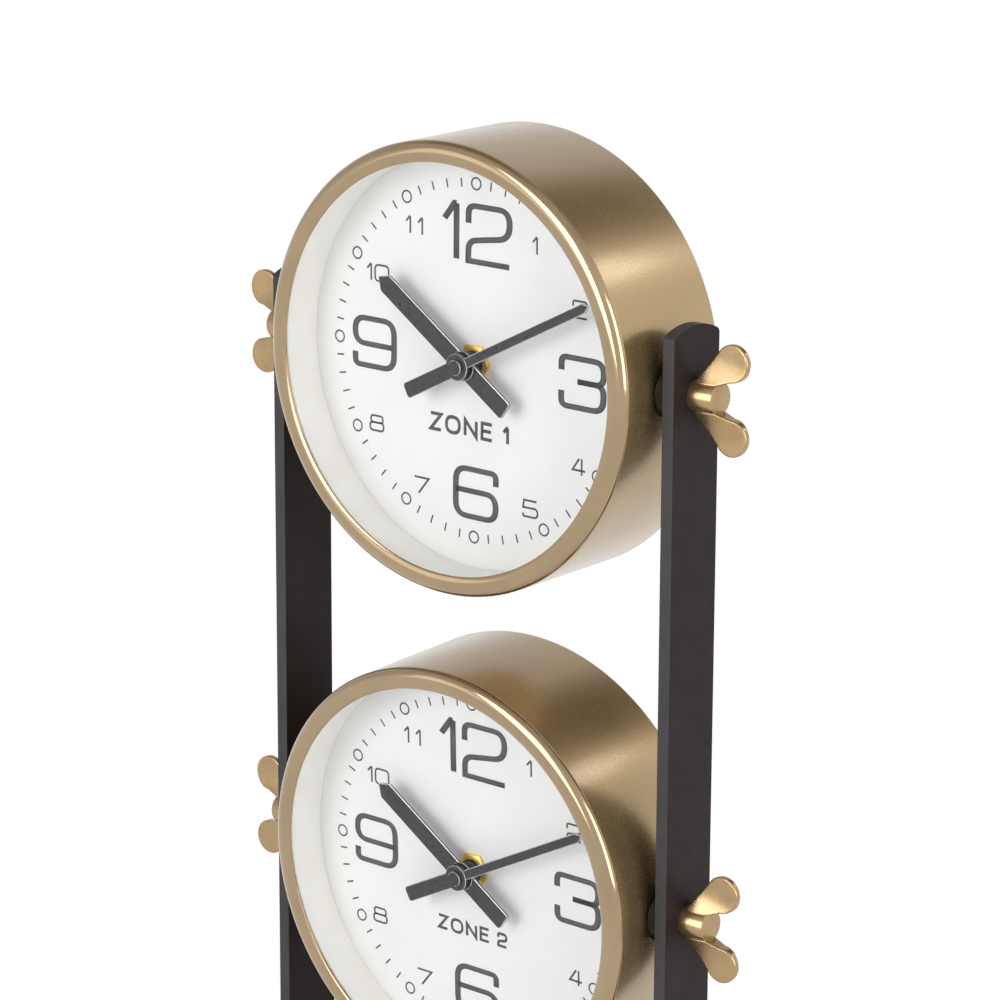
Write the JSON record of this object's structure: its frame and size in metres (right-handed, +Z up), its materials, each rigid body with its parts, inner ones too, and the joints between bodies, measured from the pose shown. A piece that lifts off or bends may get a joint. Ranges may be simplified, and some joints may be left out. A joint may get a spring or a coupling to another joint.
{
  "type": "tilting clock tower",
  "caption": "Table clock tower: round drum clocks tilt between flat uprights on a heavy base, clamped by wing screws, with coupled hour and minute hands behind a lens.",
  "frame": {"origin": "on the surface the tower stands on, under the middle of the base", "axes": "+Z up, the dials look along -Y, +X to the viewer's right"},
  "size_m": [0.2118, 0.13, 0.5373],
  "materials": {
    "satin_gold": "satin champagne gold",
    "clear_lens": "clear polished",
    "pale_liner": "matt",
    "white_dial": "matt printed",
    "black_plastic": "matt",
    "battery_jacket": "satin jacket",
    "circuit_board": "semi matt",
    "brass": "polished",
    "gear_plastic": "moulded",
    "dark_hand": "matt dark grey",
    "black_steel": "fine powder coat",
    "black_screw": "blackened",
    "rubber": "matt"
  },
  "bodies": {
    "stand": {"base_plate": "black_steel", "upright_left": "black_steel", "upright_right": "black_steel", "pivot_spacers": "black_plastic", "foot_screws": "black_screw", "rubber_feet": "rubber"},
    "lower_drum": {"lower_case": "satin_gold", "lower_bezel": "satin_gold", "lower_lens": "clear_lens", "lower_dial_wall": "pale_liner", "lower_dial": "white_dial", "lower_movement_housing": "black_plastic", "lower_movement_cover": "black_plastic", "lower_battery": "battery_jacket", "lower_coil_board": "circuit_board", "lower_bushing_nut": "brass"},
    "lower_minute": {"lower_minute_arbor": "brass", "lower_minute_hand": "dark_hand"},
    "lower_hour": {"lower_hour_wheel": "gear_plastic", "lower_hour_hand": "dark_hand"},
    "lower_motion": {"lower_motion_wheel": "gear_plastic"},
    "lower_knob": {"lower_setting_knob": "black_plastic"},
    "lower_screw_right": {"lower_wing_screw_right": "brass"},
    "lower_screw_left": {"lower_wing_screw_left": "brass"},
    "middle_drum": {"middle_case": "satin_gold", "middle_bezel": "satin_gold", "middle_lens": "clear_lens", "middle_dial_wall": "pale_liner", "middle_dial": "white_dial", "middle_movement_housing": "black_plastic", "middle_movement_cover": "black_plastic", "middle_battery": "battery_jacket", "middle_coil_board": "circuit_board", "middle_bushing_nut": "brass"},
    "middle_minute": {"middle_minute_arbor": "brass", "middle_minute_hand": "dark_hand"},
    "middle_hour": {"middle_hour_wheel": "gear_plastic", "middle_hour_hand": "dark_hand"},
    "middle_motion": {"middle_motion_wheel": "gear_plastic"},
    "middle_knob": {"middle_setting_knob": "black_plastic"},
    "middle_screw_right": {"middle_wing_screw_right": "brass"},
    "middle_screw_left": {"middle_wing_screw_left": "brass"},
    "upper_drum": {"upper_case": "satin_gold", "upper_bezel": "satin_gold", "upper_lens": "clear_lens", "upper_dial_wall": "pale_liner", "upper_dial": "white_dial", "upper_movement_housing": "black_plastic", "upper_movement_cover": "black_plastic", "upper_battery": "battery_jacket", "upper_coil_board": "circuit_board", "upper_bushing_nut": "brass"},
    "upper_minute": {"upper_minute_arbor": "brass", "upper_minute_hand": "dark_hand"},
    "upper_hour": {"upper_hour_wheel": "gear_plastic", "upper_hour_hand": "dark_hand"},
    "upper_motion": {"upper_motion_wheel": "gear_plastic"},
    "upper_knob": {"upper_setting_knob": "black_plastic"},
    "upper_screw_right": {"upper_wing_screw_right": "brass"},
    "upper_screw_left": {"upper_wing_screw_left": "brass"}
  },
  "joints": [
    {"name": "lower_tilt", "type": "hinge", "parent": "stand", "child": "lower_drum", "pos_m": [0, 0, 0.11], "axis": [1, 0, 0], "continuous": true},
    {"name": "lower_minute_turn", "type": "hinge", "parent": "lower_drum", "child": "lower_minute", "pos_m": [0, 0, 0.11], "axis": [0, 1, 0], "continuous": true},
    {"name": "lower_hour_turn", "type": "hinge", "parent": "lower_drum", "child": "lower_hour", "pos_m": [0, 0, 0.11], "axis": [0, 1, 0], "continuous": true},
    {"name": "lower_motion_turn", "type": "hinge", "parent": "lower_drum", "child": "lower_motion", "pos_m": [0, 0, 0.12], "axis": [0, 1, 0], "continuous": true},
    {"name": "lower_knob_turn", "type": "hinge", "parent": "lower_drum", "child": "lower_knob", "pos_m": [0, 0, 0.13], "axis": [0, 1, 0], "continuous": true},
    {"name": "lower_screw_right_turn", "type": "hinge", "parent": "stand", "child": "lower_screw_right", "pos_m": [0.0855, 0, 0.11], "axis": [1, 0, 0], "continuous": true},
    {"name": "lower_screw_left_turn", "type": "hinge", "parent": "stand", "child": "lower_screw_left", "pos_m": [-0.0855, 0, 0.11], "axis": [-1, 0, 0], "continuous": true},
    {"name": "middle_tilt", "type": "hinge", "parent": "stand", "child": "middle_drum", "pos_m": [0, 0, 0.2857], "axis": [1, 0, 0], "continuous": true},
    {"name": "middle_minute_turn", "type": "hinge", "parent": "middle_drum", "child": "middle_minute", "pos_m": [0, 0, 0.2857], "axis": [0, 0.9988, 0.0489], "continuous": true},
    {"name": "middle_hour_turn", "type": "hinge", "parent": "middle_drum", "child": "middle_hour", "pos_m": [0, 0, 0.2857], "axis": [0, 0.9988, 0.0489], "continuous": true},
    {"name": "middle_motion_turn", "type": "hinge", "parent": "middle_drum", "child": "middle_motion", "pos_m": [0, -0.00049, 0.29569], "axis": [0, 0.9988, 0.0489], "continuous": true},
    {"name": "middle_knob_turn", "type": "hinge", "parent": "middle_drum", "child": "middle_knob", "pos_m": [0, -0.00098, 0.30568], "axis": [0, 0.9988, 0.0489], "continuous": true},
    {"name": "middle_screw_right_turn", "type": "hinge", "parent": "stand", "child": "middle_screw_right", "pos_m": [0.0855, 0, 0.2857], "axis": [1, 0, 0], "continuous": true},
    {"name": "middle_screw_left_turn", "type": "hinge", "parent": "stand", "child": "middle_screw_left", "pos_m": [-0.0855, 0, 0.2857], "axis": [-1, 0, 0], "continuous": true},
    {"name": "upper_tilt", "type": "hinge", "parent": "stand", "child": "upper_drum", "pos_m": [0, 0, 0.4614], "axis": [1, 0, 0], "continuous": true},
    {"name": "upper_minute_turn", "type": "hinge", "parent": "upper_drum", "child": "upper_minute", "pos_m": [0, 0, 0.4614], "axis": [0, 0.9999, 0.0166], "continuous": true},
    {"name": "upper_hour_turn", "type": "hinge", "parent": "upper_drum", "child": "upper_hour", "pos_m": [0, 0, 0.4614], "axis": [0, 0.9999, 0.0166], "continuous": true},
    {"name": "upper_motion_turn", "type": "hinge", "parent": "upper_drum", "child": "upper_motion", "pos_m": [0, -0.00017, 0.4714], "axis": [0, 0.9999, 0.0166], "continuous": true},
    {"name": "upper_knob_turn", "type": "hinge", "parent": "upper_drum", "child": "upper_knob", "pos_m": [0, -0.00033, 0.4814], "axis": [0, 0.9999, 0.0166], "continuous": true},
    {"name": "upper_screw_right_turn", "type": "hinge", "parent": "stand", "child": "upper_screw_right", "pos_m": [0.0855, 0, 0.4614], "axis": [1, 0, 0], "continuous": true},
    {"name": "upper_screw_left_turn", "type": "hinge", "parent": "stand", "child": "upper_screw_left", "pos_m": [-0.0855, 0, 0.4614], "axis": [-1, 0, 0], "continuous": true}
  ],
  "couplings": [
    {"joint": "lower_hour_turn", "follows": "lower_minute_turn", "ratio": 0.083333},
    {"joint": "lower_motion_turn", "follows": "lower_minute_turn", "ratio": -0.33333},
    {"joint": "lower_knob_turn", "follows": "lower_minute_turn", "ratio": 1},
    {"joint": "middle_hour_turn", "follows": "middle_minute_turn", "ratio": 0.083333},
    {"joint": "middle_motion_turn", "follows": "middle_minute_turn", "ratio": -0.33333},
    {"joint": "middle_knob_turn", "follows": "middle_minute_turn", "ratio": 1},
    {"joint": "upper_hour_turn", "follows": "upper_minute_turn", "ratio": 0.083333},
    {"joint": "upper_motion_turn", "follows": "upper_minute_turn", "ratio": -0.33333},
    {"joint": "upper_knob_turn", "follows": "upper_minute_turn", "ratio": 1}
  ]
}
